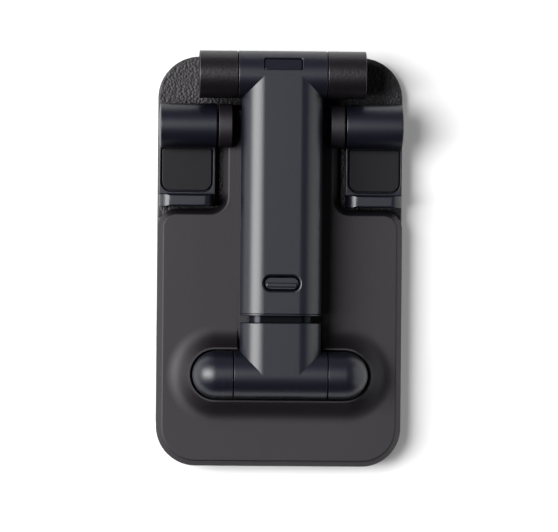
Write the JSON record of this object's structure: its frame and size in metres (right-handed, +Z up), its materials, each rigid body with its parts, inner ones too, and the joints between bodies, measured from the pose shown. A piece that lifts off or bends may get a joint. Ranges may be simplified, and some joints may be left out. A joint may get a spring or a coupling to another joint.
{
  "type": "phone stand",
  "caption": "Folding desk phone stand: weighted base, telescopic arm on friction hinges, phone plate with a flared collar, and two fold-out hooks.",
  "frame": {"origin": "on the floor under the middle of the folded stand", "axes": "+Z up, +Y along the stand towards the base hinge, +X across it along the hinge pins"},
  "size_m": [0.075, 0.127, 0.0255],
  "materials": {
    "base_abs": "coarse moulded leather grain",
    "plate_abs": "fine spark-eroded matt",
    "arm_abs": "satin",
    "silicone": "matt",
    "nylon": "matt",
    "tube_aluminium": "black anodised",
    "steel": "zinc plated"
  },
  "bodies": {
    "base": {"base_top_shell": "base_abs", "base_bottom_cover": "base_abs", "base_weight": "steel", "base_grip_pad": "silicone", "base_hinge_cap_left": "base_abs", "base_hinge_cap_right": "base_abs", "base_hinge_pin": "steel", "base_hinge_nut": "steel", "base_screw_1": "steel", "base_screw_2": "steel", "base_screw_3": "steel", "base_screw_4": "steel"},
    "lower_arm": {"arm_sleeve": "arm_abs", "barrel_plug": "arm_abs", "sleeve_mouth_guide": "arm_abs", "stop_catch": "nylon", "base_hinge_bush_left": "steel", "base_hinge_bush_right": "steel", "base_hinge_spring_1": "steel", "base_hinge_spring_2": "steel", "base_hinge_spring_3": "steel"},
    "upper_arm": {"arm_head": "arm_abs", "head_plug": "arm_abs", "inner_tube": "tube_aluminium", "slide_end_guide": "nylon", "head_screw_1": "steel", "head_screw_2": "steel", "plate_hinge_bush_left": "steel", "plate_hinge_bush_right": "steel", "plate_hinge_spring_1": "steel", "plate_hinge_spring_2": "steel", "plate_hinge_spring_3": "steel"},
    "phone_plate": {"plate_back_shell": "plate_abs", "plate_front_panel": "plate_abs", "plate_front_pad": "silicone", "plate_screw_1": "steel", "plate_screw_2": "steel", "plate_screw_3": "steel", "plate_screw_4": "steel", "plate_screw_5": "steel", "plate_hinge_cap_left": "arm_abs", "plate_hinge_cap_right": "arm_abs", "plate_hinge_pin": "steel", "plate_hinge_nut": "steel"},
    "hook_left": {"hook_left": "arm_abs", "hook_pad_left": "silicone", "hook_pin_left": "steel", "hook_spring_left": "steel"},
    "hook_right": {"hook_right": "arm_abs", "hook_pad_right": "silicone", "hook_pin_right": "steel", "hook_spring_right": "steel"}
  },
  "joints": [
    {"name": "base_hinge", "type": "hinge", "parent": "base", "child": "lower_arm", "pos_m": [0, 0.0562, 0.0182], "axis": [-1, 0, 0], "range_deg": [0, 100]},
    {"name": "arm_slide", "type": "slide", "parent": "lower_arm", "child": "upper_arm", "axis": [0, -1, 0], "range_m": [0, 0.04]},
    {"name": "plate_hinge", "type": "hinge", "parent": "upper_arm", "child": "phone_plate", "pos_m": [0, -0.0354, 0.0182], "axis": [-1, 0, 0], "range_deg": [0, 130]},
    {"name": "hook_left_hinge", "type": "hinge", "parent": "phone_plate", "child": "hook_left", "pos_m": [-0.0198, 0.0407, 0.0122], "axis": [1, 0, 0], "range_deg": [0, 90]},
    {"name": "hook_right_hinge", "type": "hinge", "parent": "phone_plate", "child": "hook_right", "pos_m": [0.0198, 0.0407, 0.0122], "axis": [1, 0, 0], "range_deg": [0, 90]}
  ],
  "couplings": [
    {"joint": "plate_hinge", "follows": "base_hinge", "ratio": 0.12},
    {"joint": "hook_left_hinge", "follows": "base_hinge", "ratio": 0.9},
    {"joint": "hook_right_hinge", "follows": "base_hinge", "ratio": 0.9}
  ]
}
